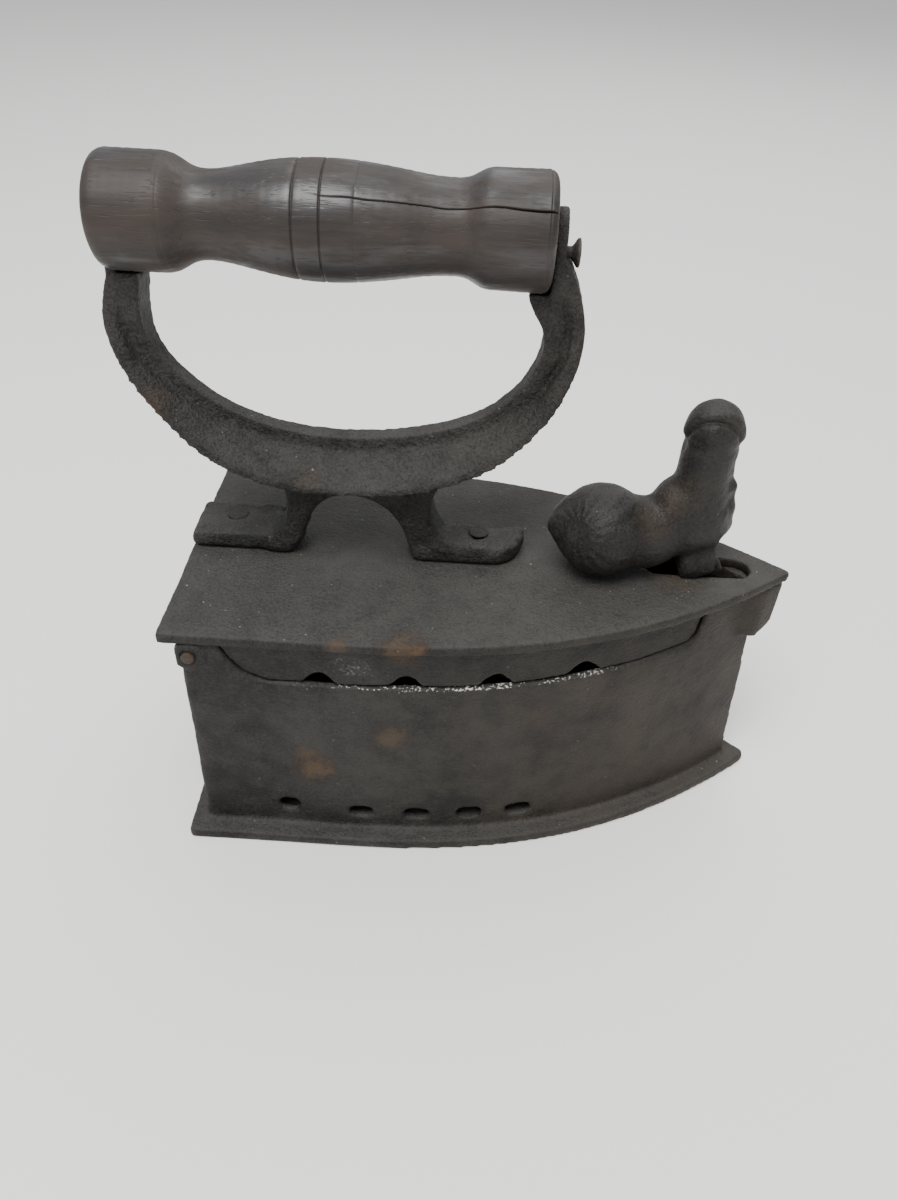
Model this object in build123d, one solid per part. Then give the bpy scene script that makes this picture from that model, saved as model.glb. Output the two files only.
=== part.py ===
from build123d import *
import os

# A charcoal iron: a hollow cast-iron body that holds burning embers, a hinged
# lid with a cast handle bow and a turned wooden grip, and a latch with the
# figure of a rooster. Millimetres, +X towards the pointed tip, +Z up, and the
# origin on the ironing face under the middle of the lid.

# ---- driving dimensions ----
LID_REAR = -102.5
LID_TIP = 102.5
LID_HALF = 51.0
LID_TOP = 95.2
LID_THICK = 3.7
LID_UNDER = LID_TOP - LID_THICK

SOLE_REAR = -104.0
SOLE_TIP = 108.8
SOLE_HALF = 54.9
SOLE_THICK = 4.0
FLOOR = 7.0                      # inside floor of the firebox

FOOT_REAR, FOOT_TIP, FOOT_HALF = -98.5, 99.2, 47.5      # wall outline where it meets the sole
RIM_REAR, RIM_TIP, RIM_HALF = -96.6, 93.0, 49.6         # wall outline just under the lid
WALL = 3.5
TIP_FACTOR = 1.6                 # how much further an offset moves the tip than the side
BODY_TOP = LID_UNDER - 0.3

DIP = 75.4                       # height of the wall's rim between the rear corners and the nose
SKIRT_GAP = 0.6
SKIRT_INSET = 1.0
SKIRT_THICK = 3.0
SKIRT_VENTS = (-53.5, -25.8, 2.7, 31.0)
LOWER_VENTS = (                  # x, height, length and width of each oval draught hole
    (-67.4, 13.0, 7.2, 6.2),
    (-41.8, 11.2, 8.8, 5.4),
    (-21.8, 10.6, 9.0, 5.4),
    (-2.9, 10.4, 9.0, 5.4),
    (14.8, 10.4, 9.0, 5.4),
)

HINGE_X, HINGE_Z = -93.4, 86.0
PIN_R = 2.2
BOSS_R = 5.2
BOSS_REAR = -97.6                # the bosses are flat behind
BOSS_IN, EAR_FACE = 46.0, 50.5   # inside and outside faces of the hinge bosses
LUG_IN, LUG_OUT, LUG_R = 40.0, 44.0, 4.8
REAR_WALL_TOP = 78.2
PRESS = 0.02                     # radial clearance of a driven pin
RUNNING = 0.06                   # radial clearance of a turning fit

PIVOT_X, PIVOT_Z = 68.0, 87.0
PIVOT_R = 1.5
PIVOT_LUG_IN, PIVOT_LUG_OUT, PIVOT_LUG_R = 5.4, 8.4, 4.2
SLOT_X, SLOT_LENGTH, SLOT_WIDTH = 69.5, 36.0, 10.0
CATCH_X, CATCH_Z = 80.8, 80.0
CATCH_GAP = 3.0                  # the hook ends this far short of its catch
HOOK_TIP = CATCH_X - CATCH_GAP

GRIP_Z = 203.5
GRIP_REAR, GRIP_FRONT = -114.4, 9.4
GRIP_SPAN = 122.3                # length that the turned profile's shares measure, from the front end
GRIP_R = 15.7
GROOVES = (-59.2, -52.0)         # two turned lines round the belly
EAR_GAP = 0.2
REAR_EAR, FRONT_EAR = 2.6, 3.2   # thickness of the bow's two ears
EAR_SEAT = 3.5                   # the rear ear sits this deep in the grip's end
REAR_EAR_X = GRIP_REAR + EAR_SEAT - EAR_GAP - REAR_EAR
FRONT_EAR_X = GRIP_FRONT + EAR_GAP
EAR_HALF = 6.5
EAR_FOOT_Z, EAR_ROUND_Z = 186.0, 203.8

ROD_Z = 198.6
ROD_R = 1.6
ROD_HOLE_R = ROD_R + 0.3
ROD_HEAD_X = 14.6                # where the flared head starts
ROD_HEAD_R = 3.9
ROD_END = REAR_EAR_X - 2.6       # the washer's outer face
SPOT_FACE_R = 4.6

WEB_HALF = 3.0
FLANGE_HALF = 15.0
LEG_HALF = 7.0
BOW_LINE = (                     # where the web meets the flange, in X and Z
    (9.9, 195.5), (13.4, 188.5), (15.7, 180.5), (15.6, 171.0), (9.0, 156.2),
    (-4.6, 144.6), (-26.0, 136.8), (-49.0, 134.1), (-70.5, 136.4), (-89.5, 144.0),
    (-103.0, 155.0), (-110.4, 165.5), (-112.2, 174.5), (-110.4, 183.5), (-108.2, 189.5),
)
WEB_LINE = (                     # the web's inner edge, which flares where it meets the grip
    (3.2, 191.0), (5.3, 184.0), (8.4, 178.5), (9.5, 173.5), (8.4, 167.0), (3.9, 158.6), (-7.0, 148.8),
    (-27.0, 141.4), (-49.0, 139.1), (-69.5, 141.2), (-87.0, 148.2), (-98.6, 157.6), (-104.9, 167.0),
    (-106.2, 174.5), (-105.4, 182.5), (-104.2, 190.5),
)

RIVETS = ((-88.6, 6.4), (-5.4, 2.0))
RIVET_R = 2.3
REAR_PAD = (-102.0, -72.5, -5.7, 13.8)      # rear, front, near side and far side
REAR_PAD_TOP = 101.0
FRONT_PAD_TOP = 102.4

GRATE_TOP = 21.5
GRATE_REAR, GRATE_TIP, GRATE_HALF = -91.0, 78.0, 41.0    # outline that the bars fill
BAR_COUNT, BAR_PITCH, BAR_WIDTH, BAR_HEIGHT = 10, 14.0, 6.0, 3.5
RAIL_WIDTH, RAIL_HEIGHT = 5.0, 3.5

TAIL = (34.3, -4.0, 110.9)
TAIL_R = 15.1

os.makedirs("parts", exist_ok=True)


BEYOND = 80.0                    # how far a cutting shape runs, well past every face


# ---- shared outlines ----
def half_width(share, widest):
    """Half-width of the boat-shaped outline, share 0 at the rear and 1 at the tip."""
    return widest * (1 - share) * (1 + 0.82 * share + 2.27 * share**2 - 0.90 * share**3)


def outline(rear, tip, widest, height, corner=2.5, nose=1.5):
    """The boat-shaped face at a height, with rounded rear corners and tip."""
    shares = (0, 0.15, 0.3, 0.45, 0.6, 0.75, 0.88, 1)
    near = [(rear + s * (tip - rear), -half_width(s, widest)) for s in shares]
    far = [(x, -y) for x, y in reversed(near)]
    edges = [Spline(*near), Spline(*far), Line(far[-1], near[0])]
    face = make_face(edges)
    corners = face.vertices().sort_by(Axis.X)
    face = fillet(corners[:2], corner)
    if nose:
        face = fillet(face.vertices().sort_by(Axis.X)[-1:], nose)
    return Pos(0, 0, height) * face


def wall_outline(height, inset, corner=2.5):
    """The wall's outline at a height, moved inwards by inset."""
    share = (height - SOLE_THICK) / (LID_UNDER - SOLE_THICK)
    rear = FOOT_REAR + share * (RIM_REAR - FOOT_REAR) + inset
    tip = FOOT_TIP + share * (RIM_TIP - FOOT_TIP) - TIP_FACTOR * inset
    widest = FOOT_HALF + share * (RIM_HALF - FOOT_HALF) - inset
    return outline(rear, tip, widest, height, corner, 1.2)


def wall_solid(low, high, inset, corner=2.5):
    """The solid inside the wall's outline between two heights."""
    return loft([wall_outline(low, inset, corner), wall_outline(high, inset, corner)])


def across(face, half):
    """Extrude a face drawn in X and Z to both sides of the middle plane."""
    return extrude(Plane.XZ * face, half, both=True)


def upright_disc(x, z, radius, near, far):
    """A disc with its axis along Y, from y = near to y = far."""
    disc = Cylinder(radius, far - near, rotation=(90, 0, 0))
    return Pos(x, (near + far) / 2, z) * disc


def rod(radius, start, end, y, z):
    """A round bar along X."""
    return Pos((start + end) / 2, y, z) * Cylinder(radius, end - start, rotation=(0, 90, 0))


def block(x0, x1, y0, y1, z0, z1):
    """A plain block between two corners."""
    middle = Pos((x0 + x1) / 2, (y0 + y1) / 2, (z0 + z1) / 2)
    return middle * Box(x1 - x0, y1 - y0, z1 - z0)


def dip_profile(gap, floor):
    """The stretch of side wall that the lid's skirt replaces, with its S-shaped ends."""
    top = LID_TOP + 5
    path = [
        Line((-85.0 + gap, top), (-85.0 + gap, 91.4)),
        Spline((-85.0 + gap, 91.4), (-82.0 + gap, 85.0), (-77.6 + gap, 79.0 + gap), (-67.0, floor)),
        Line((-67.0, floor), (65.5, floor)),
        Spline((65.5, floor), (70.4 - gap, 78.6), (71.6 - gap, 85.0), (74.4 - gap, 89.6), (79.0 - gap, 91.4)),
        Line((79.0 - gap, 91.4), (79.0 - gap, top)),
        Line((79.0 - gap, top), (-85.0 + gap, top)),
    ]
    return make_face(path)


# ---- body: sole, walls, raised rear corners and nose, all one casting ----
def make_body():
    sole = extrude(outline(SOLE_REAR, SOLE_TIP, SOLE_HALF, 0, 3.0, 3.0), SOLE_THICK)
    sole = fillet(sole.faces().sort_by(Axis.Z)[-1].edges(), 1.2)
    walls = wall_solid(SOLE_THICK - 1, BODY_TOP, 0)
    beak_side = make_face([
        Line((82, 71), (93.8, 68.5)),
        Spline((93.8, 68.5), (97.9, 71.2), (100.9, 74.6), (102.0, 79.5)),
        Line((102.0, 79.5), (102.0, BODY_TOP)),
        Line((102.0, BODY_TOP), (82, BODY_TOP)),
        Line((82, BODY_TOP), (82, 71)),
    ])
    beak = across(beak_side, 5.5)
    under_lid = extrude(outline(LID_REAR, LID_TIP - 1.0, LID_HALF - 0.8, 60, 2.5, 1.5), 35)
    body = sole + walls + (beak & under_lid)
    body -= wall_solid(FLOOR, LID_UNDER + 1, WALL, 2.0)
    body -= across(dip_profile(0, DIP), BEYOND)

    catch = block(CATCH_X, RIM_TIP, -8, 8, CATCH_Z, CATCH_Z + 4)
    body += catch & wall_solid(CATCH_Z - 1, CATCH_Z + 5, 1.0)

    # the rear wall is low between the bosses, so that the lid can swing back
    body -= block(-BEYOND - 30, HINGE_X + 4.5, -LUG_OUT - 0.6, LUG_OUT + 0.6, REAR_WALL_TOP, 100)
    behind = block(-BEYOND - 30, HINGE_X, -BEYOND, BEYOND, HINGE_Z, 100)
    body -= behind - upright_disc(HINGE_X, HINGE_Z, BOSS_R, -BEYOND, BEYOND)
    for near, far in ((-EAR_FACE, -BOSS_IN), (BOSS_IN, EAR_FACE)):
        boss = upright_disc(HINGE_X, HINGE_Z, BOSS_R, near, far)
        body += boss & block(BOSS_REAR, HINGE_X + BOSS_R, near, far, HINGE_Z - BOSS_R, HINGE_Z + BOSS_R)
    body -= upright_disc(HINGE_X, HINGE_Z, PIN_R + PRESS, -BEYOND, BEYOND)

    for x, z, length, width in LOWER_VENTS:
        body -= across(Pos(x, z) * SlotOverall(length, width), BEYOND)
    return body


def make_hinge_pin():
    """A long pin through both rear corners, its ends peened over slightly proud."""
    pin = upright_disc(HINGE_X, HINGE_Z, PIN_R, -EAR_FACE - 0.9, EAR_FACE + 0.9)
    ends = pin.edges().filter_by(GeomType.CIRCLE)
    return fillet(ends, 0.7)


# ---- lid: plate, side skirts with arched vents, hinge lugs and latch lugs ----
def skirt_vent():
    """One bell-shaped vent, open at the bottom of the skirt."""
    arch = Spline((-6.6, 0), (-4.7, 1.0), (-2.8, 3.2), (0, 4.5), (2.8, 3.2), (4.7, 1.0), (6.6, 0))
    return make_face([arch, Polyline((6.6, 0), (6.6, -3), (-6.6, -3), (-6.6, 0))])


def make_lid():
    plate = extrude(outline(LID_REAR, LID_TIP, LID_HALF, LID_UNDER, 1.8, 1.2), LID_THICK)
    plate = fillet(plate.faces().sort_by(Axis.Z)[-1].edges(), 0.8)

    skirt_foot = DIP + SKIRT_GAP
    skirt = wall_solid(skirt_foot - 1, LID_UNDER + 0.5, SKIRT_INSET)
    skirt -= wall_solid(skirt_foot - 2, LID_UNDER + 1, SKIRT_INSET + SKIRT_THICK)
    skirt = skirt & across(dip_profile(SKIRT_GAP, skirt_foot), BEYOND)
    skirt = skirt & block(-90, 90, -BEYOND, BEYOND, skirt_foot, LID_UNDER + 0.5)
    for x in SKIRT_VENTS:
        skirt -= across(Pos(x, skirt_foot) * skirt_vent(), BEYOND)
    lid = plate + skirt

    rear_skirt = block(HINGE_X - 4.2, HINGE_X - 2.6, -LUG_OUT, LUG_OUT, HINGE_Z - 6, LID_UNDER + 0.5)
    lid += rear_skirt
    for near, far in ((-LUG_OUT, -LUG_IN), (LUG_IN, LUG_OUT)):
        lid += upright_disc(HINGE_X, HINGE_Z, LUG_R, near, far)
        lid += block(HINGE_X - 3.5, HINGE_X + LUG_R, near, far, HINGE_Z, LID_UNDER + 0.5)
    lid -= upright_disc(HINGE_X, HINGE_Z, PIN_R + RUNNING, -BEYOND, BEYOND)

    for near, far in ((-PIVOT_LUG_OUT, -PIVOT_LUG_IN), (PIVOT_LUG_IN, PIVOT_LUG_OUT)):
        lid += upright_disc(PIVOT_X, PIVOT_Z, PIVOT_LUG_R, near, far)
        lid += block(PIVOT_X - PIVOT_LUG_R, PIVOT_X + PIVOT_LUG_R, near, far, PIVOT_Z, LID_UNDER + 0.5)
    lid -= upright_disc(PIVOT_X, PIVOT_Z, PIVOT_R + PRESS, -PIVOT_LUG_OUT - 1, PIVOT_LUG_OUT + 1)
    lid -= Pos(SLOT_X, 0, LID_UNDER - 2) * extrude(SlotOverall(SLOT_LENGTH, SLOT_WIDTH), LID_THICK + 4)

    for x, y in RIVETS:
        lid -= Pos(x, y, LID_UNDER) * Cylinder(RIVET_R + PRESS, 20)
    return lid


# ---- handle bow: two feet, two legs, the curved bow and its two ears ----
def bow_flange():
    """The flange, which droops outwards on both sides like an umbrella, and narrows towards the ears."""
    line = Plane.XZ * Spline(*BOW_LINE)
    start = Plane(origin=line @ 0, x_dir=(0, 1, 0), z_dir=line % 0)
    half = [(0, -0.5), (WEB_HALF, -0.5), (6.0, 0), (FLANGE_HALF, 7.2), (FLANGE_HALF, 9.3), (LEG_HALF, 4.5),
            (0, 4.5)]
    section = make_face(Polyline(*half, *[(-x, n) for x, n in reversed(half[1:-1])], close=True))
    flange = sweep(start * section, path=line)
    widths = ((118, 15.0), (132, 14.4), (143, 11.6), (157, 8.6), (172, 7.0), (186, EAR_HALF), (200, EAR_HALF))
    return flange & seen_from_front(widths)


def bow_web():
    """The web inside the ring, thin at the bottom and as wide as the ears at the top."""
    side = make_face([
        Spline(*WEB_LINE),
        Line(WEB_LINE[-1], BOW_LINE[-1]),
        Spline(*reversed(BOW_LINE)),
        Line(BOW_LINE[0], WEB_LINE[0]),
    ])
    widths = ((118, WEB_HALF), (150, WEB_HALF), (160, 3.4), (170, 4.8), (180, 6.2), (188, 6.4), (200, 6.4))
    return across(side, FLANGE_HALF) & seen_from_front(widths)


def seen_from_front(widths):
    """A long block along X whose half-width follows pairs of height and half-width."""
    near = [(-w, z) for z, w in widths]
    far = [(w, z) for z, w in reversed(widths)]
    face = make_face([Spline(*near), Line(near[-1], far[0]), Spline(*far), Line(far[-1], near[0])])
    return Pos(-180, 0, 0) * extrude(Plane.YZ * face, 260)


def bow_legs():
    """Two legs that join in an arch and end inside the flange."""
    rear_leg = make_face([
        Polyline((-76.0, REAR_PAD_TOP - 1), (-72.6, 103.5), (-69.0, 108.0), (-68.6, 118.0), (-72.0, 137.0)),
        Line((-72.0, 137.0), (-50.0, 136.0)),
        Line((-50.0, 136.0), (-50.0, 119.6)),
        Spline((-50.0, 119.6), (-57.0, 116.6), (-61.7, 109.8), (-64.6, 101.5), (-68.6, LID_TOP)),
        Line((-68.6, LID_TOP), (-76.0, LID_TOP)),
        Line((-76.0, LID_TOP), (-76.0, REAR_PAD_TOP - 1)),
    ])
    front_leg = make_face([
        Spline((-50.0, 119.6), (-41.0, 118.2), (-34.6, 113.4), (-30.0, 105.6), (-27.7, LID_TOP)),
        Line((-27.7, LID_TOP), (-12.0, LID_TOP)),
        Line((-12.0, LID_TOP), (-12.0, FRONT_PAD_TOP)),
        Spline((-12.0, FRONT_PAD_TOP), (-17.0, 103.6), (-20.0, 108.0), (-21.5, 117.0), (-17.0, 128.0),
               (-8.0, 139.0)),
        Line((-8.0, 139.0), (-50.0, 136.0)),
        Line((-50.0, 136.0), (-50.0, 119.6)),
    ])
    legs = across(rear_leg, LEG_HALF) + across(front_leg, LEG_HALF)
    under_web = [(x, z - 1.5) for x, z in BOW_LINE[4:11]]
    (x0, _), (x1, _) = under_web[0], under_web[-1]
    above = make_face([Spline(*under_web), Polyline(under_web[-1], (x1, 175), (x0, 175), under_web[0])])
    return legs - across(above, 40)


def bow_feet():
    """The two pads that lie on the lid."""
    rear_x0, rear_x1, rear_y0, rear_y1 = REAR_PAD
    rear_pad = block(rear_x0, rear_x1, rear_y0, rear_y1, LID_TOP, REAR_PAD_TOP)
    rear_pad = fillet(rear_pad.faces().sort_by(Axis.Z)[-1].edges(), 1.0)
    front_plan = make_face(Polyline((-26.5, -7.2), (1.6, -7.2), (6.4, -4.0), (9.4, 2.0), (10.6, 7.6),
                                    (-26.5, 7.6), close=True))
    front_pad = Pos(0, 0, LID_TOP) * extrude(front_plan, FRONT_PAD_TOP - LID_TOP)
    front_pad = fillet(front_pad.faces().sort_by(Axis.Z)[-1].edges(), 1.0)
    notch = Pos(-5.4, 8.4, FRONT_PAD_TOP) * Cylinder(2.6, 5.0)
    return rear_pad + (front_pad - notch)


def ear(x0, x1, half):
    """An upright plate across the grip's axis with a round top."""
    return block(x0, x1, -half, half, EAR_FOOT_Z, EAR_ROUND_Z) + rod(half, x0, x1, 0, EAR_ROUND_Z)


def make_bow():
    bow = bow_flange() + bow_web()
    bow -= rod(GRIP_R + 0.3, GRIP_REAR - EAR_GAP, FRONT_EAR_X, 0, GRIP_Z)
    bow += ear(FRONT_EAR_X, FRONT_EAR_X + FRONT_EAR, EAR_HALF)
    bow += ear(REAR_EAR_X, REAR_EAR_X + REAR_EAR, EAR_HALF)
    bow -= rod(ROD_HOLE_R, ROD_END - 5, ROD_HEAD_X + 5, 0, ROD_Z)
    bow -= rod(SPOT_FACE_R, FRONT_EAR_X + FRONT_EAR, ROD_HEAD_X + 10, 0, ROD_Z)
    bow += bow_legs() + bow_feet()
    for x, y in RIVETS:
        bow -= Pos(x, y, LID_TOP) * Cylinder(RIVET_R + PRESS, 40)
    return bow


def make_foot_rivets():
    """Two rivets, headed over the bow's feet and peened under the lid."""
    rivets = []
    for (x, y), top in zip(RIVETS, (REAR_PAD_TOP, FRONT_PAD_TOP)):
        low = LID_UNDER - 2.2
        shank = Pos(x, y, (low + top) / 2) * Cylinder(RIVET_R, top - low)
        head = Pos(x, y, top + 0.35) * Cylinder(RIVET_R + 1.2, 0.7)
        tail = Pos(x, y, LID_UNDER - 2.0) * Cylinder(RIVET_R + 1.0, 1.4)
        rivets.append(shank + head + tail)
    return Compound(children=rivets)


def make_rivet_burrs():
    """The two washers that the rivets are peened over, under the lid."""
    burrs = []
    for x, y in RIVETS:
        ring = Cylinder(5.0, 1.2) - Cylinder(RIVET_R + PRESS, 3)
        burrs.append(Pos(x, y, LID_UNDER - 0.65) * ring)
    return Compound(children=burrs)


# ---- wooden grip and the rod that holds it between the bow's ears ----
def shoulder(start, end):
    """An S-curve that leaves and arrives along the grip's axis."""
    middle = (start[0] + end[0]) / 2
    return Bezier(start, (middle, start[1]), (middle, end[1]), end)


def make_grip():
    start = GRIP_FRONT - GRIP_SPAN
    rear = (GRIP_REAR - start) / GRIP_SPAN

    def at(share, radius):
        return (start + share * GRIP_SPAN, radius)

    waist = [at(0.235, 11.6), at(0.3, 12.6), at(0.4, 14.9), at(0.5, GRIP_R), at(0.6, 14.9), at(0.7, 13.2),
             at(0.785, 12.4)]
    outside = [
        Line(at(rear, 14.2), at(0.01, 15.5)),
        Line(at(0.01, 15.5), at(0.13, 15.5)),
        shoulder(at(0.13, 15.5), waist[0]),
        Spline(*waist, tangents=[(1, 0), (1, 0)]),
        shoulder(waist[-1], at(0.87, 15.5)),
        Line(at(0.87, 15.5), at(0.98, GRIP_R)),
        Line(at(0.98, GRIP_R), at(1.0, 15.1)),
    ]
    profile = make_face([*outside, Polyline(at(1.0, 15.1), at(1.0, 0), at(rear, 0), at(rear, 14.2))])
    grip = Pos(0, 0, GRIP_Z) * revolve(Plane.XZ * profile, Axis.X)
    for x in GROOVES:
        grip -= rod(20, x - 0.35, x + 0.35, 0, GRIP_Z) - rod(15.0, x - 1, x + 1, 0, GRIP_Z)
    grip -= rod(ROD_HOLE_R, ROD_END - 5, ROD_HEAD_X + 5, 0, ROD_Z)
    grip -= ear(GRIP_REAR - 1, GRIP_REAR + EAR_SEAT, EAR_HALF + 2 * EAR_GAP)
    return grip


def make_grip_rod():
    """A rod with a flared head at the front, its rear end peened over a washer."""
    shank = rod(ROD_R, ROD_END, ROD_HEAD_X + 0.5, 0, ROD_Z)
    flare = Pos(ROD_HEAD_X + 0.75, 0, ROD_Z) * Rot(0, 90, 0) * Cone(ROD_R, ROD_HEAD_R, 1.5)
    disc = rod(ROD_HEAD_R, ROD_HEAD_X + 1.5, ROD_HEAD_X + 2.2, 0, ROD_Z)
    tail = rod(2.8, ROD_END - 1.2, ROD_END, 0, ROD_Z)
    return shank + flare + disc + tail


def make_rod_washer():
    return rod(4.6, ROD_END, ROD_END + 1.1, 0, ROD_Z) - rod(ROD_R, ROD_END - 1, ROD_END + 3, 0, ROD_Z)


# ---- rooster latch: the figure, its foot on the slot, and the hook below ----
def egg(x, y, z, rx, ry, rz):
    """An egg-shaped lump of the figure."""
    return Pos(x, y, z) * scale(Sphere(1), by=(rx, ry, rz))


def make_latch():
    tail = Pos(*TAIL) * Sphere(TAIL_R) + egg(28.5, -4.0, 113.0, 10.9, 9.5, 10.0)
    back = egg(47.0, -2.6, 109.4, 15.0, 11.0, 12.2)
    shoulders = egg(58.5, -0.3, 119.5, 8.5, 8.5, 10.0)
    breast = egg(63.6, 0.0, 115.5, 12.6, 10.6, 13.8)
    neck_foot = Pos(64.8, 0.2, 121) * Cone(10.6, 7.9, 19)
    neck = Pos(64.4, 0.4, 134) * Cylinder(8.0, 16)
    head = egg(64.6, 0.5, 147.6, 8.9, 8.2, 8.9)
    bib_side = make_face(Polyline((66, 144), (73.6, 146.5), (73.2, 133.5), (76.2, 127), (77.4, 119),
                                  (77.6, 112.4), (75.6, 110.4), (70, 113), close=True))
    bib = across(bib_side, 1.6)
    leg = Pos(67.4, 0, 102.2) * Cone(6.6, 7.0, 8.6)
    front = shoulders + neck_foot + neck + head + breast
    figure = front + (back + tail) + bib + leg
    # the foot's underside is a rocker, so that the figure can tip forwards on the lid
    foot_side = make_face([
        Polyline((61.6, 98.6), (62.6, 96.4), (65.0, LID_TOP + 0.4), (68.0, LID_TOP + 0.6), (71.0, 96.7),
                 (74.4, 98.0), (72.4, 103.5), (62.5, 103.5), close=True),
    ])
    figure += across(foot_side, 7.6)

    shank_side = make_face(Polyline((64.2, 100), (63.8, PIVOT_Z), (72.2, PIVOT_Z), (77.6, 91.5), (77.6, 96.6),
                                    (72.6, 102), close=True))
    shank = across(shank_side, 2.5)
    boss = upright_disc(PIVOT_X, PIVOT_Z, PIVOT_LUG_R, 0.3 - PIVOT_LUG_IN, PIVOT_LUG_IN - 0.3)
    hook_top = CATCH_Z - 0.5
    hook_side = make_face(Polyline((64.0, PIVOT_Z), (64.8, 80.5), (70.4, 74.4), (HOOK_TIP - 1.2, 73.6),
                                   (HOOK_TIP, 75.2), (HOOK_TIP, hook_top), (HOOK_TIP - 2.2, hook_top),
                                   (HOOK_TIP - 3.2, 78.2), (72.8, 79.8), (72.2, PIVOT_Z), close=True))
    hook = across(hook_side, 2.0)
    latch = figure + shank + boss + hook
    latch -= upright_disc(PIVOT_X, PIVOT_Z, PIVOT_R + RUNNING, -PIVOT_LUG_IN, PIVOT_LUG_IN)
    return latch


def make_latch_pin():
    pin = upright_disc(PIVOT_X, PIVOT_Z, PIVOT_R, -PIVOT_LUG_OUT - 1, PIVOT_LUG_OUT + 1)
    return fillet(pin.edges().filter_by(GeomType.CIRCLE), 0.5)


# ---- ember grate: loose cross bars on two rails, which stand on four feet ----
def rail_y(x):
    """The distance of a rail's middle from the middle plane, less towards the tip."""
    return 30.0 - 0.12 * (x - GRATE_REAR)


def make_grate_bars():
    bars = []
    for step in range(BAR_COUNT):
        x = GRATE_REAR + 8.0 + BAR_PITCH * step
        reach = half_width((x - GRATE_REAR) / (GRATE_TIP - GRATE_REAR), GRATE_HALF)
        rear, front = x - BAR_WIDTH / 2, x + BAR_WIDTH / 2
        bars.append(block(rear, front, -reach, reach, GRATE_TOP - BAR_HEIGHT, GRATE_TOP))
    return Compound(children=bars)


def make_grate_rails():
    top = GRATE_TOP - BAR_HEIGHT
    front = GRATE_REAR + 8.0 + BAR_PITCH * (BAR_COUNT - 1) + BAR_WIDTH / 2
    rails = []
    for side in (-1, 1):
        rear_y, front_y = side * rail_y(GRATE_REAR + 5), side * rail_y(front)
        half = RAIL_WIDTH / 2
        plan = make_face(Polyline((GRATE_REAR + 5, rear_y - half), (front, front_y - half),
                                  (front, front_y + half), (GRATE_REAR + 5, rear_y + half), close=True))
        rails.append(Pos(0, 0, top - RAIL_HEIGHT) * extrude(plan, RAIL_HEIGHT))
    return Compound(children=rails)


def make_grate_feet():
    top = GRATE_TOP - BAR_HEIGHT - RAIL_HEIGHT
    feet = []
    for x in (GRATE_REAR + 8.0, GRATE_REAR + 8.0 + 7 * BAR_PITCH):
        for side in (-1, 1):
            foot = Cylinder(RAIL_WIDTH / 2, top - FLOOR - 0.05, align=(Align.CENTER, Align.CENTER, Align.MAX))
            feet.append(Pos(x, side * rail_y(x), top) * foot)
    return Compound(children=feet)


PARTS = {
    "body": make_body(),
    "hinge_pin": make_hinge_pin(),
    "lid": make_lid(),
    "handle_bow": make_bow(),
    "foot_rivets": make_foot_rivets(),
    "rivet_burrs": make_rivet_burrs(),
    "wooden_grip": make_grip(),
    "grip_rod": make_grip_rod(),
    "rod_washer": make_rod_washer(),
    "rooster_latch": make_latch(),
    "latch_pin": make_latch_pin(),
    "grate_bars": make_grate_bars(),
    "grate_rails": make_grate_rails(),
    "grate_feet": make_grate_feet(),
}

for node, shape in PARTS.items():
    export_step(shape, f"parts/{node}.step")
    print(node, round(shape.volume / 1000, 1), "cm3")
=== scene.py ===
# %% [markdown]
# # A charcoal iron
# A charcoal iron is a small cast-iron stove with a flat sole. Embers glow inside the body, air comes in
# through the holes near the bottom and leaves under the arches of the lid, and a wooden grip keeps the
# hand away from the heat. This lesson starts from a measured frame of the iron and gives every piece the
# skin that the real one has: sand-cast iron, old turned wood, and rusty wire.

import itertools
import math

import bmesh
import bpy
import numpy as np
from mathutils import Matrix, Vector


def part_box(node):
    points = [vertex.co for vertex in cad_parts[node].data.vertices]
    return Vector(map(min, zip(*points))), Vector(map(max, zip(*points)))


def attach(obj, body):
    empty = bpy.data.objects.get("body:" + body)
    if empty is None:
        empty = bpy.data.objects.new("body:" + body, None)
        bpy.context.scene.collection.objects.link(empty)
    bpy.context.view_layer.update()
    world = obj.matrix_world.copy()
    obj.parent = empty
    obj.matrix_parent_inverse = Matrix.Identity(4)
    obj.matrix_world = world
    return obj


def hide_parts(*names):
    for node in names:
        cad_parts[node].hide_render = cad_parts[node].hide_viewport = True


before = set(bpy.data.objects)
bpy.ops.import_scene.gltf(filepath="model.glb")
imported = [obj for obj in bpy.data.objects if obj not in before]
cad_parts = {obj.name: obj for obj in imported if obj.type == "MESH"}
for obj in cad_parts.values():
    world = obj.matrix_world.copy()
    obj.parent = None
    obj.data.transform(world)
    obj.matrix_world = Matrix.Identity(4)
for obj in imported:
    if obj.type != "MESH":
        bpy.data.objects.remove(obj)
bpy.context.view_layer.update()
MM = 0.001

# %% [markdown]
# ## Camera
# The iron is seen from above its right side, a little rolled, as a hand-held camera would. A camera can be
# placed by three turns from its home direction, which is straight down: tip it up, swing it, roll it.

# %% Camera
CAMERA_PLACE = Vector((-9.9, -257.9, 285.9)) * MM
SWING, DOWN, ROLL = math.radians(1.04), math.radians(39.45), math.radians(2.67)

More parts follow.
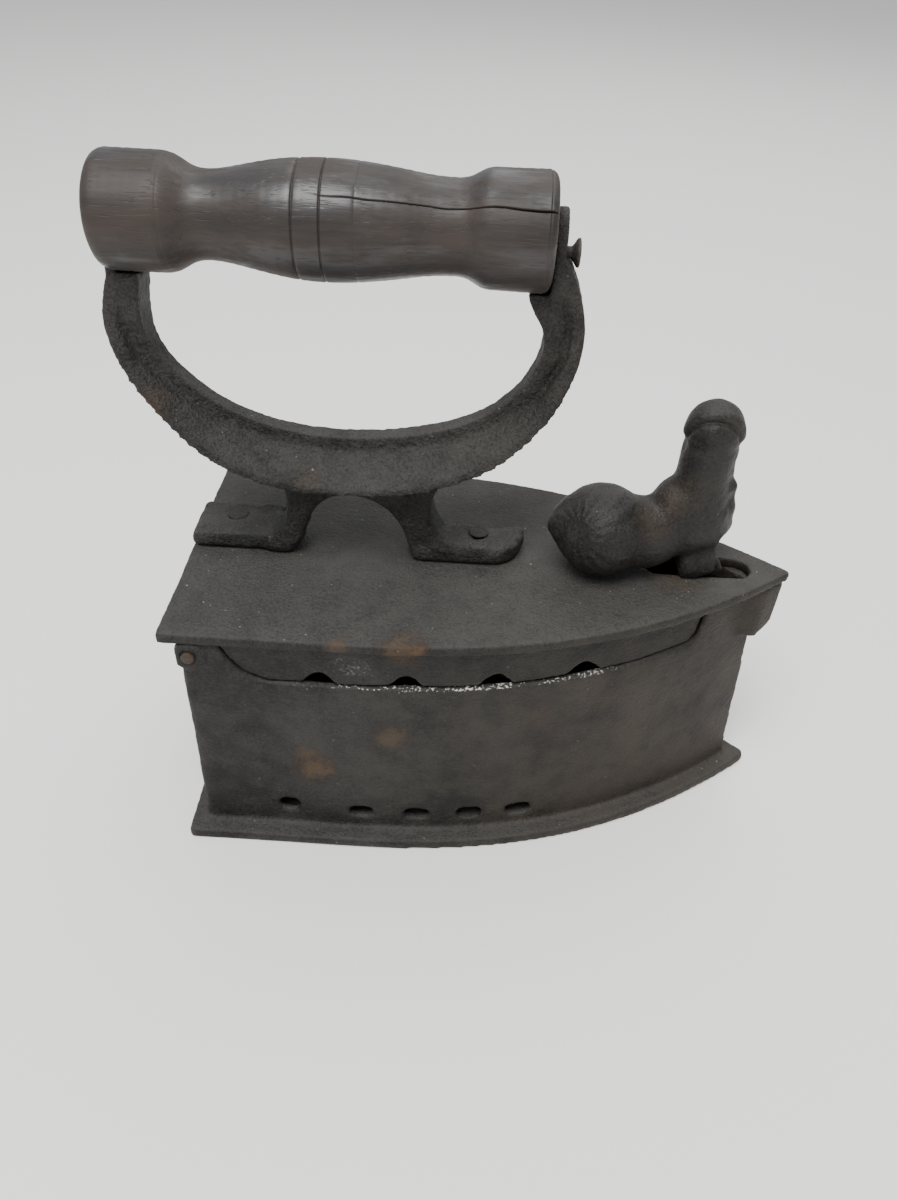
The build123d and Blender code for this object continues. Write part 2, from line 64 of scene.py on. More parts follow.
camera = bpy.data.objects.new("camera", bpy.data.cameras.new("camera"))
camera.data.sensor_fit = "VERTICAL"
camera.data.sensor_height = 36.0
camera.data.lens = 28.0
camera.data.clip_start = 0.01
swing = Matrix.Rotation(SWING, 4, "Z")
tip_up = Matrix.Rotation(math.pi / 2 - DOWN, 4, "X")
turn = swing @ tip_up @ Matrix.Rotation(ROLL, 4, "Z")
camera.matrix_world = Matrix.Translation(CAMERA_PLACE) @ turn
bpy.context.scene.collection.objects.link(camera)
bpy.context.scene.camera = camera
print("camera at", tuple(round(v, 3) for v in CAMERA_PLACE))

# %% [markdown]
# ## Shader maths as plain expressions
# A material is a sheet of nodes. Wiring them by hand hides the idea, so a small class wraps a socket and
# lets `1 - mask` or `grain * 0.4 + blotch` add the Math nodes. Colours go through Mix nodes and positions
# through Vector Math, because a Math node would turn them grey.

# %% A socket that does arithmetic
class Value:
    """A shader socket that can be used in an expression."""

    def __init__(self, sheet, socket):
        self.sheet = sheet
        self.socket = socket

    def maths(self, operation, first, second=0.0):
        return self.sheet.add("ShaderNodeMath", {"operation": operation}, {0: first, 1: second})

    def __add__(self, other):
        return self.maths("ADD", self, other)

    __radd__ = __add__

    def __sub__(self, other):
        return self.maths("SUBTRACT", self, other)

    def __rsub__(self, other):
        return self.maths("SUBTRACT", other, self)

    def __mul__(self, other):
        return self.maths("MULTIPLY", self, other)

    __rmul__ = __mul__

    def smaller(self, other):
        return self.maths("MINIMUM", self, other)

    def larger(self, other):
        return self.maths("MAXIMUM", self, other)

    def between(self, low, high):
        """0 below low, 1 above high, and an easy slope from one to the other."""
        return self.sheet.add("ShaderNodeMapRange", {"interpolation_type": "SMOOTHSTEP"},
                              {"Value": self, "From Min": low, "From Max": high})


# %% A sheet of nodes
class Sheet:
    """One material and its nodes, with positions in millimetres."""

    def __init__(self, name):
        self.material = bpy.data.materials.new(name)
        self.material.use_nodes = True
        self.tree = self.material.node_tree
        self.tree.nodes.clear()
        place = self.add("ShaderNodeTexCoord", output="Object")
        self.place = self.add("ShaderNodeVectorMath", {"operation": "SCALE"}, {0: place, "Scale": 1000.0})
        facing = self.add("ShaderNodeTexCoord", output="Normal")
        self.up = self.add("ShaderNodeSeparateXYZ", None, {0: facing}, "Z")
        self.x = self.add("ShaderNodeSeparateXYZ", None, {0: self.place}, "X")
        self.z = self.add("ShaderNodeSeparateXYZ", None, {0: self.place}, "Z")
        self.worn = self.add("ShaderNodeNewGeometry", output="Pointiness")

    def add(self, kind, settings=None, inputs=None, output=0):
        """Add a node: its settings first, then its sockets' values or links."""
        node = self.tree.nodes.new(kind)
        for key, value in (settings or {}).items():
            setattr(node, key, value)
        for key, value in (inputs or {}).items():
            if isinstance(value, Value):
                self.tree.links.new(value.socket, node.inputs[key])
            else:
                node.inputs[key].default_value = value
        return None if output is None else Value(self, node.outputs[output])

    def noise(self, size, detail=2.0, place=None, rough=0.5):
        """Soft noise around 0.5 whose lumps are size millimetres across."""
        return self.add("ShaderNodeTexNoise", None, {"Vector": place or self.place, "Scale": 1.0 / size,
                                                     "Detail": detail, "Roughness": rough})

    def stretched(self, x, y, z):
        """The position with each direction multiplied."""
        return self.add("ShaderNodeVectorMath", {"operation": "MULTIPLY"}, {0: self.place, 1: (x, y, z)})

    def mix(self, share, first, second):
        """A colour that goes from first to second as share goes from 0 to 1."""
        colours = [c if isinstance(c, Value) else (*c, 1.0) for c in (first, second)]
        return self.add("ShaderNodeMix", {"data_type": "RGBA"}, {0: share, 6: colours[0], 7: colours[1]}, 2)

    def near(self, spot, radius):
        """1 at a spot, falling to 0 at a radius, both in millimetres."""
        away = self.add("ShaderNodeVectorMath", {"operation": "DISTANCE"}, {0: self.place, 1: spot}, "Value")
        return 1 - away.between(0.0, radius)

    def specks(self, size, share, radius):
        """Scattered specks, one in each cell of the given size, in a share of the cells."""
        cells = {"Vector": self.place, "Scale": 1.0 / size}
        away = self.add("ShaderNodeTexVoronoi", None, cells, "Distance")
        pick = self.add("ShaderNodeTexVoronoi", None, cells, "Color")
        chosen = self.add("ShaderNodeSeparateColor", None, {0: pick}).between(1 - share, 1.01 - share)
        return chosen * (1 - away.between(radius / size * 0.6, radius / size))

    def bump(self, height, depth, strength=1.0):
        """A bump from a height of about 0 to 1 that is depth millimetres deep."""
        sockets = {"Height": height, "Distance": depth * MM, "Strength": strength}
        return self.add("ShaderNodeBump", None, sockets)

    def finish(self, colour, roughness, bump=None, metallic=0.0, specular=0.5):
        """Wire the surface and return the material."""
        sockets = {"Base Color": colour, "Roughness": roughness, "Metallic": metallic,
                   "Specular IOR Level": specular}
        if bump is not None:
            sockets["Normal"] = bump
        skin = self.add("ShaderNodeBsdfPrincipled", None, sockets)
        self.add("ShaderNodeOutputMaterial", None, {"Surface": skin}, None)
        return self.material


print("shader helpers ready")

# %% [markdown]
# ## Floor and light
# The iron stands on a plain pale floor under big soft lights: a window high in front, which draws a dull
# sheen along the grip, and a dim one behind. Dark iron needs soft light, or its shape is lost in shadow.

# %% Floor
def flat_sheet(name, half):
    mesh = bpy.data.meshes.new(name)
    corners = [(-half, -half, 0), (half, -half, 0), (half, half, 0), (-half, half, 0)]
    mesh.from_pydata(corners, [], [(0, 1, 2, 3)])
    thing = bpy.data.objects.new(name, mesh)
    bpy.context.scene.collection.objects.link(thing)
    return thing


floor = flat_sheet("studio_floor", 8.0)
paper = Sheet("pale_paper")
floor.data.materials.append(paper.finish((0.90, 0.89, 0.865, 1.0), 0.95))
print("floor laid")

# %% Lights
def soft_light(name, place, size, watts, aim=(-0.01, 0, 0.08)):
    """A square soft light that looks at the iron."""
    lamp = bpy.data.lights.new(name, "AREA")
    lamp.size = size
    lamp.energy = watts
    thing = bpy.data.objects.new(name, lamp)
    thing.location = place
    thing.rotation_euler = (Vector(aim) - Vector(place)).to_track_quat("-Z", "Y").to_euler()
    bpy.context.scene.collection.objects.link(thing)
    return thing


soft_light("front_window", (-0.25, -0.55, 1.35), 0.7, 26.0)
soft_light("back_window", (0.30, 0.80, 1.30), 1.4, 12.0)
world = bpy.data.worlds.new("room")
world.use_nodes = True
world.node_tree.nodes["Background"].inputs["Color"].default_value = (0.96, 0.97, 1.0, 1.0)
world.node_tree.nodes["Background"].inputs["Strength"].default_value = 0.62
bpy.context.scene.world = world
print("two lights and the room's glow")

# %% [markdown]
# ## The skin of sand-cast iron
# Iron poured into sand keeps the sand's grain. Age adds a dark oxide, brown rust where damp stood, pale
# dust on what faces up, and a slight polish on edges that hands and cloth rub. Each is a mask over the
# surface, so one recipe with different amounts makes every casting.

# %% Cast iron
def cast_iron(name, tone=1.0, brown=0.3, dust=0.3, rust=(), grain=1.0, roughness=0.62, ash=None, edges=0.5):
    """Old cast iron. rust is a list of (spot, radius, strength) in millimetres."""
    sheet = Sheet(name)
    blotch = sheet.noise(30.0, 3.0)
    cloud = sheet.noise(8.0, 4.0)
    sand = sheet.noise(0.9, 2.0, rough=0.7)
    pits = sheet.noise(2.3, 4.0, rough=0.6)
    dark = tuple(tone * c for c in (0.0050, 0.0050, 0.0051))
    light = tuple(tone * c for c in (0.030, 0.0292, 0.0275))
    colour = sheet.mix((blotch * 1.0 + cloud * 0.9 + sand * 1.7 - 1.3).between(0.0, 1.0), dark, light)
    # iron goes brown in cloudy patches, more so towards the tip
    warmth = ((sheet.x + 70.0) * 0.008).smaller(1.0).larger(0.2) * (blotch + cloud - 0.4) * brown
    colour = sheet.mix(warmth.smaller(0.8), colour, tuple(tone * c for c in (0.036, 0.0275, 0.0185)))
    # dust settles on what faces up, and in the pits
    settled = sheet.up.between(0.5, 1.0) * (cloud * 0.4 + sand * 0.9) * dust
    colour = sheet.mix(settled.smaller(0.9), colour, (0.066, 0.064, 0.059))
    # rubbed edges are a little brighter
    rubbed = sheet.worn.between(0.515, 0.56) * edges
    colour = sheet.mix(rubbed * 0.5, colour, (0.056, 0.055, 0.053))
    # rust spreads as a cloud from a wet spot, yellow in the middle and dark at the rim
    for spot, radius, strength in rust:
        wet = sheet.near(spot, radius) * 1.1 + (pits - 0.5) * 0.9 + (cloud - 0.5) * 0.8 + (sand - 0.5) * 0.6
        stain = wet.between(0.15, 1.0) * strength
        ochre = sheet.mix(wet.between(0.5, 1.1), (0.032, 0.019, 0.012), (0.085, 0.052, 0.026))
        colour = sheet.mix(stain, colour, ochre)
    pepper = (sheet.specks(2.6, 0.2, 0.26) + sheet.specks(7.0, 0.4, 0.42)) * sheet.up.between(-0.6, 0.9)
    colour = sheet.mix(pepper.smaller(1.0) * (0.15 + 0.6 * dust), colour, (0.30, 0.285, 0.26))
    if ash is not None:
        low, high, rear, front, amount = ash
        line = sheet.z.between(low - 0.5, low) * (1 - sheet.z.between(high, high + 0.5))
        line = line * sheet.x.between(rear - 12, rear + 6) * (1 - sheet.x.between(front - 12, front + 12))
        crumbs = (sheet.noise(1.0, 3.0, rough=0.7) * 0.9 + 0.35 * cloud).between(0.69, 0.76)
        colour = sheet.mix(line * crumbs * amount, colour, (0.72, 0.70, 0.66))
    height = (sand * 0.75 + pits * 0.7 + cloud * 0.3) * grain
    gloss = roughness + (sand - 0.5) * 0.4 + (0.5 - blotch) * 0.2
    return sheet.finish(colour, gloss, sheet.bump(height, 0.8, 1.0), 0.0, 0.24)


print("cast iron recipe ready")


# %% [markdown]
# ## The skin of old turned wood
# The grip was turned on a lathe, stained dark by smoke and hands, and has gone grey and shiny where it is
# held, and those grey patches carry a painted bluish sheen. Wood is drawn out along its grain, so its noise
# is stretched along the length.

# %% Turned wood
def old_wood(name):
    sheet = Sheet(name)
    fibre = sheet.noise(1.2, 3.0, sheet.stretched(0.09, 1.0, 1.0), 0.6)
    figure = sheet.noise(4.5, 3.0, sheet.stretched(0.16, 1.0, 1.0))
    pores = sheet.noise(0.45, 1.0, sheet.stretched(0.07, 1.0, 1.0)).between(0.62, 0.74)
    blotch = sheet.noise(22.0, 3.0)
    patches = sheet.noise(10.0, 4.0, sheet.stretched(0.4, 1.0, 1.0))
    colour = sheet.mix((fibre * 0.5 + figure * 0.7 + blotch * 0.4 - 0.35).between(0.0, 0.9),
                       (0.014, 0.0112, 0.0096), (0.042, 0.0340, 0.0285))
    red = (figure + blotch - 0.8).between(0.0, 0.5) * 0.4
    colour = sheet.mix(red, colour, (0.043, 0.027, 0.021))
    # handled patches are worn grey and a little shiny, and their bluish grey colour is partly a painted sheen
    handled_and_sheen = (patches + 0.25 * fibre - 0.12).between(0.45, 0.62)
    colour = sheet.mix(handled_and_sheen * 0.4, colour, (0.046, 0.047, 0.051))
    soot = (sheet.noise(14.0, 3.0) - 0.1).between(0.42, 0.62) * (1 - handled_and_sheen)
    colour = sheet.mix(soot * 0.35, colour, (0.020, 0.016, 0.014))
    colour = sheet.mix(pores * 0.2, colour, (0.012, 0.010, 0.009))
    # the turned lines and the crack, where the skin is sunk, are darkened nearly to black and made rougher
    sunk = 1 - sheet.worn.between(0.40, 0.485)
    colour = sheet.mix(sunk * 0.9, colour, (0.006, 0.005, 0.004))
    gloss = 0.56 - handled_and_sheen * 0.24 + (fibre - 0.5) * 0.15 + sunk * 0.4
    height = fibre * 0.3 + figure * 0.25 + patches * 0.9 - pores * 0.25
    return sheet.finish(colour, gloss, sheet.bump(height, 0.28, 0.8), 0.0, 0.36)


print("turned wood recipe ready")


# %% [markdown]
# ## Drawn wire and hammered rivets
# The small pieces were drawn or hammered, not cast, so they have no sand grain. They are dark, faintly
# shiny, and rust in small blooms.

# %% Rusty wire
def rusty_wire(name, red=0.5, tone=1.0):
    sheet = Sheet(name)
    bloom = (sheet.noise(2.4, 4.0) + 0.3 * sheet.noise(0.6, 2.0) - 0.15).between(0.35, 0.7) * red
    colour = sheet.mix(sheet.noise(1.2, 3.0), (0.020 * tone, 0.019 * tone, 0.018 * tone),
                       (0.062 * tone, 0.058 * tone, 0.054 * tone))
    colour = sheet.mix(bloom, colour, (0.075, 0.042, 0.022))
    return sheet.finish(colour, 0.55 + bloom * 0.35, sheet.bump(sheet.noise(0.9, 3.0), 0.35, 0.8), 0.25, 0.35)


print("rusty wire recipe ready")


# %% [markdown]
# ## Reading, moving and measuring points
# Sculpting here means moving a mesh's points with arithmetic. Numpy holds all points of a piece in one
# table, in millimetres, so a groove or a bulge is one line: how far each point moves along its normal.

# %% Points in and out
def points_of(mesh):
    """All points of a mesh, in millimetres."""
    flat = np.empty(len(mesh.vertices) * 3, np.float32)
    mesh.vertices.foreach_get("co", flat)
    return flat.reshape(-1, 3).astype(float) / MM


def put_points(mesh, points):
    mesh.vertices.foreach_set("co", (points * MM).astype(np.float32).ravel())
    mesh.update()


def normals_of(mesh):
    flat = np.empty(len(mesh.vertices) * 3, np.float32)
    mesh.vertex_normals.foreach_get("vector", flat)
    return flat.reshape(-1, 3).astype(float)


def neighbours_middle(mesh, points):
    """The middle of each point's neighbours."""
    pairs = np.empty(len(mesh.edges) * 2, np.int32)
    mesh.edges.foreach_get("vertices", pairs)
    pairs = pairs.reshape(-1, 2)
    count = np.bincount(pairs.ravel(), minlength=len(points)).astype(float)
    total = np.zeros_like(points)
    for axis in range(3):
        for here, there in ((0, 1), (1, 0)):
            total[:, axis] += np.bincount(pairs[:, here], points[pairs[:, there], axis], len(points))
    return total / np.maximum(count, 1)[:, None]


def soothe(piece, rounds, where=None):
    """Smooth a piece by moving each point towards the middle of its neighbours, where a mask says so."""
    mesh = piece.data
    points = points_of(mesh)
    share = 0.5 if where is None else 0.5 * where(points)[:, None]
    for _ in range(rounds):
        points = points + share * (neighbours_middle(mesh, points) - points)
    put_points(mesh, points)


def ease(values, low, high):
    """0 below low, 1 above high, smooth between."""
    share = np.clip((values - low) / (high - low), 0, 1)
    return share * share * (3 - 2 * share)


def ball(points, spot, radius):
    """1 at a spot, falling smoothly to 0 at a radius."""
    return 1 - ease(np.linalg.norm(points - np.array(spot), axis=1), 0, radius)


# %% Repeatable noise for moving points
def lattice(cells, seed):
    """A repeatable number from -1 to 1 for each whole-number cell."""
    mixed = cells[:, 0] * 73856093 ^ cells[:, 1] * 19349663 ^ cells[:, 2] * 83492791 ^ seed * 265443
    mixed = (mixed ^ (mixed >> 13)) * 1274126177
    return ((mixed ^ (mixed >> 16)) & 0xFFFF) / 32767.5 - 1


def lumps(points, size, seed=1):
    """Smooth noise from -1 to 1 whose lumps are size millimetres across."""
    scaled = points / size
    cell = np.floor(scaled).astype(np.int64)
    part = scaled - cell
    part = part * part * (3 - 2 * part)
    total = np.zeros(len(points))
    for corner in itertools.product((0, 1), repeat=3):
        weight = np.where(corner, part, 1 - part).prod(axis=1)
        total += weight * lattice(cell + np.array(corner), seed)
    return total


print("sculpting helpers ready")


# %% [markdown]
# ## Making a casting out of a measured solid
# A measured solid has razor edges and dead-flat faces, which a casting never has. A voxel remesh turns it
# into one even skin, a few rounds of smoothing round its edges as sand does, and noise pushes the skin in
# and out. What stands proud can be made ragged, as at a parting line that was broken off, not filed.

# %% From solid to casting
def made_real(piece):
    """Replace a piece's mesh by what its modifiers make of it."""
    graph = bpy.context.evaluated_depsgraph_get()
    mesh = bpy.data.meshes.new_from_object(piece.evaluated_get(graph))
    piece.modifiers.clear()
    piece.data = mesh


def new_piece(name, mesh):
    piece = bpy.data.objects.new(name, mesh)
    bpy.context.scene.collection.objects.link(piece)
    return piece


def welded_copy(node, name):
    """A new piece with a welded copy of a CAD node's mesh."""
    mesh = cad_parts[node].data.copy()
    mesh.materials.clear()
    work = bmesh.new()
    work.from_mesh(mesh)
    bmesh.ops.remove_doubles(work, verts=work.verts, dist=0.002 * MM)
    work.to_mesh(mesh)
    work.free()
    return new_piece(name, mesh)


def casting(node, name, voxel, rounds):
    """An even skin over a CAD node, its edges rounded by smoothing."""
    piece = welded_copy(node, name)
    skin = piece.modifiers.new("skin", "REMESH")
    skin.mode = "VOXEL"
    skin.voxel_size = voxel * MM
    made_real(piece)
    soothe(piece, rounds)
    return piece


def push(piece, distance):
    """Move each point along its normal, by what a function of the points gives, in millimetres."""
    mesh = piece.data
    points = points_of(mesh)
    put_points(mesh, points + normals_of(mesh) * distance(points)[:, None])


def roughen(piece, wave=0.2, pock=0.06, ragged=0.0, keep=None, seed=3):
    """Push a skin in and out, and break up what stands proud."""
    mesh = piece.data
    points = points_of(mesh)
    normals = normals_of(mesh)
    pocks = lumps(points, 2.6, seed + 1) + lumps(points, 1.3, seed + 2)
    amount = wave * lumps(points, 24, seed) + pock * pocks
    if ragged:
        proud = ((points - neighbours_middle(mesh, points)) * normals).sum(axis=1)
        edge = ease(proud, 0.02, 0.10)
        chips = lumps(points, 2.2, seed + 3) + 0.8 * lumps(points, 1.1, seed + 4)
        chips = chips + 0.7 * lumps(points, 7, seed + 5)
        amount += edge * ragged * (chips - 0.3)
    if keep is not None:
        amount = amount * keep(points)
    put_points(mesh, points + normals * amount[:, None])


def settle(piece, share, node, body, slot, *materials):
    """Thin out a skin, shade it smooth, give it its materials, hide its node and tie it to its body; the slot
    is not used.
    """
    if share < 1:
        thin = piece.modifiers.new("thin", "DECIMATE")
        thin.ratio = share
        made_real(piece)
    for material in materials:
        piece.data.materials.append(material)
    piece.data.polygons.foreach_set("use_smooth", np.ones(len(piece.data.polygons), bool))
    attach(piece, body)
    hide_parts(node)
    print(piece.name, "has", len(piece.data.polygons), "faces")
    return piece


# %% [markdown]
# ## Body
# The body is one casting: the sole with its thin rim, the walls that lean outwards, the raised corners that
# carry the hinge, and the nose under the lid's tip. Its sole stays flat, because it was ground to iron with.

# %% Body
def round_holes(points):
    """Where the draught holes are, near the foot of both walls."""
    x, y, z = points.T
    low_band = ease(z, 10.5, 12.5) * (1 - ease(z, 22, 25))
    return ease(np.abs(y), 36, 39) * low_band * ease(x, -75, -70) * (1 - ease(x, 40, 45))


body = casting("body", "body_casting", 0.95, 2)
soothe(body, 9, round_holes)
roughen(body, 0.25, 0.08, 0.10, keep=lambda p: ease(p[:, 2], 0.3, 3.0))
body_skin = cast_iron(
    "body_iron", tone=1.15, brown=0.9, dust=0.7, ash=(75.0, 75.9, -52.0, 38.0, 0.9),
    rust=[((-57.0, -49.0, 35.0), 15.0, 0.62), ((-31.5, -48.5, 53.0), 13.0, 0.42),
          ((-60.0, -49.0, 42.0), 9.0, 0.4), ((-93.4, -51.0, 85.0), 5.5, 0.55),
          ((62.0, 20.0, 20.0), 16.0, 0.4), ((-80.0, 49.0, 60.0), 18.0, 0.4),
          ((-99.0, 10.0, 30.0), 18.0, 0.4), ((20.0, -47.0, 60.0), 14.0, 0.22)])
settle(body, 0.25, "body", "base", "body_iron", body_skin)

# %% [markdown]
# ## Lid
# The lid is a flat plate with a skirt along each side. The skirt's lower edge has arched vents, and a fine
# line of white ash lies where it meets the wall.

# %% Lid
lid = casting("lid", "lid_casting", 0.75, 2)
roughen(lid, 0.22, 0.07, 0.10, seed=11)
lid_skin = cast_iron(
    "lid_iron", tone=1.0, brown=0.75, dust=0.85, ash=(81.0, 88.0, -44.0, -36.0, 0.16),
    rust=[((-22.0, -50.3, 93.4), 6.0, 0.9), ((-27.0, -50.0, 92.5), 14.0, 0.55),
          ((-47.0, -50.5, 93.6), 8.0, 0.4), ((20.0, 44.0, 94.0), 9.0, 0.5), ((60.0, -8.0, 95.0), 18.0, 0.25)])
settle(lid, 0.28, "lid", "lid_assembly", "lid_iron", lid_skin)

# %% [markdown]
# ## Handle bow
# The bow is a rough casting: two feet, two legs that join in an arch, and the curved bow. The feet and legs
# are soft, as if pressed in sand by thumb, and the thin edges are ragged, because nobody filed them.

# %% Handle bow
def on_feet(points):
    """Where the bow's legs and feet are, fading out up the legs."""
    return 1 - ease(points[:, 2], 112, 124)


def pad_dents(points):
    """Shallow dents and ridges on top of the feet."""
    top = ease(points[:, 2], 99.5, 100.8) * (1 - ease(points[:, 2], 103.5, 105))
    dents = 0.6 * lumps(points, 6.0, 61) + 0.4 * lumps(points, 2.5, 62)
    far_ridge = np.exp(-((points[:, 1] - 12.4) / 0.9) ** 2) * (points[:, 0] < -70)
    near_ridge = np.exp(-((points[:, 1] + 4.6) / 0.8) ** 2) * (points[:, 0] < -75)
    return top * (dents + 0.7 * far_ridge + 0.35 * near_ridge)


def front_groove(points):
    """The groove on both sides of the front leg, between the web and the flange."""
    line = np.interp(points[:, 2], (144.6, 156.2, 171.0, 180.5, 188.5), (-4.6, 9.0, 15.6, 15.7, 13.4))
    groove = np.exp(-((points[:, 0] - line) / 0.9) ** 2) * (np.abs(points[:, 1]) > 2)
    return -0.9 * groove * ease(points[:, 2], 148, 160) * (1 - ease(points[:, 2], 186, 189))


bow = casting("handle_bow", "bow_casting", 0.6, 2)
soothe(bow, 36, on_feet)
push(bow, lambda p: 0.3 * on_feet(p) * ease(p[:, 2], 95.3, 97.5))
push(bow, pad_dents)
push(bow, front_groove)
roughen(bow, 0.25, 0.10, 0.15, seed=23, keep=lambda p: ease(p[:, 2], 95.3, 97.5))
bow_skin = cast_iron("bow_iron", tone=1.35, brown=0.4, dust=0.55, grain=1.5, edges=0.7,
                     rust=[((-106.0, -9.0, 150.0), 12.0, 0.3), ((14.0, 3.0, 160.0), 9.0, 0.2),
                           ((-60.0, -12.0, 128.0), 12.0, 0.15)])
settle(bow, 0.4, "handle_bow", "lid_assembly", "bow_iron", bow_skin)

# %% [markdown]
# ## Rooster latch
# The figure was cast from a worn pattern, so nothing on it is sharp. Heavy smoothing melts its lumps into
# one body. Then a few pushes carve what is left of the bird: the crease under its comb, the cheek, the fan
# of tail feathers round a hollow, and the ragged wattle down its front.

# %% Rooster latch
COMB_EDGE = np.array((62.6, -4.7, 151.0))          # a place on the comb's edge
COMB_FACING = np.array((-0.106, -0.904, -0.415))   # from the comb towards the face
TAIL_EYE = np.array((25.6, -14.8, 116.8))          # the hollow that the feathers spread from
TAIL_MIDDLE = np.array((33.0, -4.0, 111.0))


def figure(points):
    """The bird above the lid, without its hook."""
    return ease(points[:, 2], 96.5, 99.0)


def carve_head(points):
    depth = (points - COMB_EDGE) @ COMB_FACING
    on_head = ease(points[:, 2], 143.5, 146.5)
    crease = -1.15 * np.exp(-((depth - 0.3) / 0.7) ** 2)
    comb = 0.55 * np.exp(-((depth + 2.0) / 1.6) ** 2)
    cheek = 0.8 * ball(points, (62.3, -7.4, 149.2), 4.2)
    nick = -0.5 * ball(points, (72.6, -1.0, 142.5), 3.5) - 0.6 * ball(points, (56.4, 0.0, 142.2), 3.2)
    return on_head * (crease + comb) + cheek + nick


def carve_tail(points):
    away = points - TAIL_EYE
    outward = (TAIL_EYE - TAIL_MIDDLE) / np.linalg.norm(TAIL_EYE - TAIL_MIDDLE)
    side = np.cross(outward, (0, 0, 1.0))
    side /= np.linalg.norm(side)
    up = np.cross(side, outward)
    angle = np.arctan2(away @ up, away @ side)
    reach = np.linalg.norm(away, axis=1)
    ball_part = 1 - ease(points[:, 0], 40, 48)
    fan = np.cos(17 * angle + 0.25 * reach + 1.6 * lumps(points, 9, 71))
    feathers = 0.10 * fan * ease(reach, 2.5, 6) * (1 - ease(reach, 15, 26))
    hollow = -0.6 * (1 - ease(reach, 0.5, 5.0))
    tip = 1.2 * ball(points, (18.0, -6.5, 112.5), 6.5) - 0.7 * ball(points, (21.0, -6.0, 122.0), 7.0)
    return ball_part * (feathers + hollow) + tip - 0.6 * ball(points, (22.0, -9.0, 102.0), 7.0)


def carve_wattle(points):
    front = ease(points[:, 0], 71.0, 73.5) * ease(points[:, 2], 108, 112) * (1 - ease(points[:, 2], 140, 144))
    return front * (0.35 * lumps(points, 3.0, 81) + 0.3 * np.sin(points[:, 2] * 0.9))


latch = casting("rooster_latch", "rooster_casting", 0.5, 2)
soothe(latch, 90, figure)
push(latch, lambda p: 0.5 * figure(p))
push(latch, carve_head)
push(latch, carve_tail)
push(latch, carve_wattle)
push(latch, lambda p: 0.9 * ball(p, (65.0, -8.0, 99.0), 6.0) - 0.9 * ball(p, (68.0, -8.0, 106.0), 5.0))
soothe(latch, 1, figure)
roughen(latch, 0.2, 0.07, 0.0, seed=31)
latch_skin = cast_iron("latch_iron", tone=0.85, brown=0.35, dust=0.15, grain=0.6, roughness=0.50, edges=0.5,
                       rust=[((49.0, -9.0, 120.0), 16.0, 0.14), ((57.0, -7.0, 127.0), 14.0, 0.14)])
settle(latch, 0.5, "rooster_latch", "latch", "latch_iron", latch_skin)

# %% [markdown]
# ## Ember grate
# The grate lies loose above the draught holes. It has been red hot many times, so it is scaled and ashy.

# %% Ember grate
grate_skin = cast_iron("grate_iron", tone=1.1, brown=0.7, dust=1.1, grain=1.5)
for node in ("grate_bars", "grate_rails", "grate_feet"):
    grate = casting(node, node + "_casting", 0.9, 2)
    roughen(grate, 0.2, 0.10, 0.1, seed=41)
    settle(grate, 0.3, node, "grate", "grate_iron", grate_skin)

# %% [markdown]
# ## Wooden grip
# The grip was turned, so it is made like that: a profile that spins round an axis. The profile comes from
# the frame's own grip, and rings stand closer where the turned lines are. The long crack is a narrow
# valley, so the columns of points stand closest beside it.

# %% Profile of the grip
def grip_profile():
    """Places along the grip and its radius there, in millimetres, from the CAD node."""
    points = points_of(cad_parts["wooden_grip"].data)
    low, high = (np.array(corner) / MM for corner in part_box("wooden_grip"))
    axis_y, axis_z = (low[1] + high[1]) / 2, (low[2] + high[2]) / 2
    radius = np.hypot(points[:, 1] - axis_y, points[:, 2] - axis_z)
    outer = radius > 9
    stations = np.unique(np.round(points[outer, 0], 2))
    tops = np.array([radius[outer & (np.abs(points[:, 0] - x) < 0.006)].max() for x in stations])
    return stations, tops, axis_y, axis_z


stations, tops, AXIS_Y, AXIS_Z = grip_profile()
GRIP_REAR, GRIP_FRONT = stations[0], stations[-1]
print("the grip runs from", GRIP_REAR, "to", GRIP_FRONT, "with", len(stations), "rings")

# %% Turning the grip
# place, half-width and depth of each turned line
GROOVES = ((-59.2, 0.26, 0.42), (-52.0, 0.26, 0.42), (-43.0, 0.22, 0.05), (7.3, 0.22, 0.14),
           (-94.5, 0.5, 0.06))
CRACK_REAR = -58.0

# the seat that the bow's rear ear sits in, in the grip's end
SEAT_DEPTH, SEAT_HALF, SEAT_FOOT_Z = 3.5, 7.2, 180.0
EAR_OVER_ROD = 5.2                                 # the middle of the ear's round top, above the rod
CRACK_ANGLE = math.radians(51.0)                   # from the top towards the near side


def smooth_radius(x):
    """The grip's radius without its turned lines and with rounded ends."""
    clear = np.ones(len(stations), bool)
    for place, half, _ in GROOVES[:2]:
        clear &= np.abs(stations - place) > 2 * half
    radius = np.interp(x, stations[clear], tops[clear])
    from_end = np.minimum(x - GRIP_REAR, GRIP_FRONT - x)
    edge = 2.2
    inside = np.clip(1 - from_end / edge, 0, 1)
    return radius - edge * (1 - np.sqrt(1 - inside ** 2))


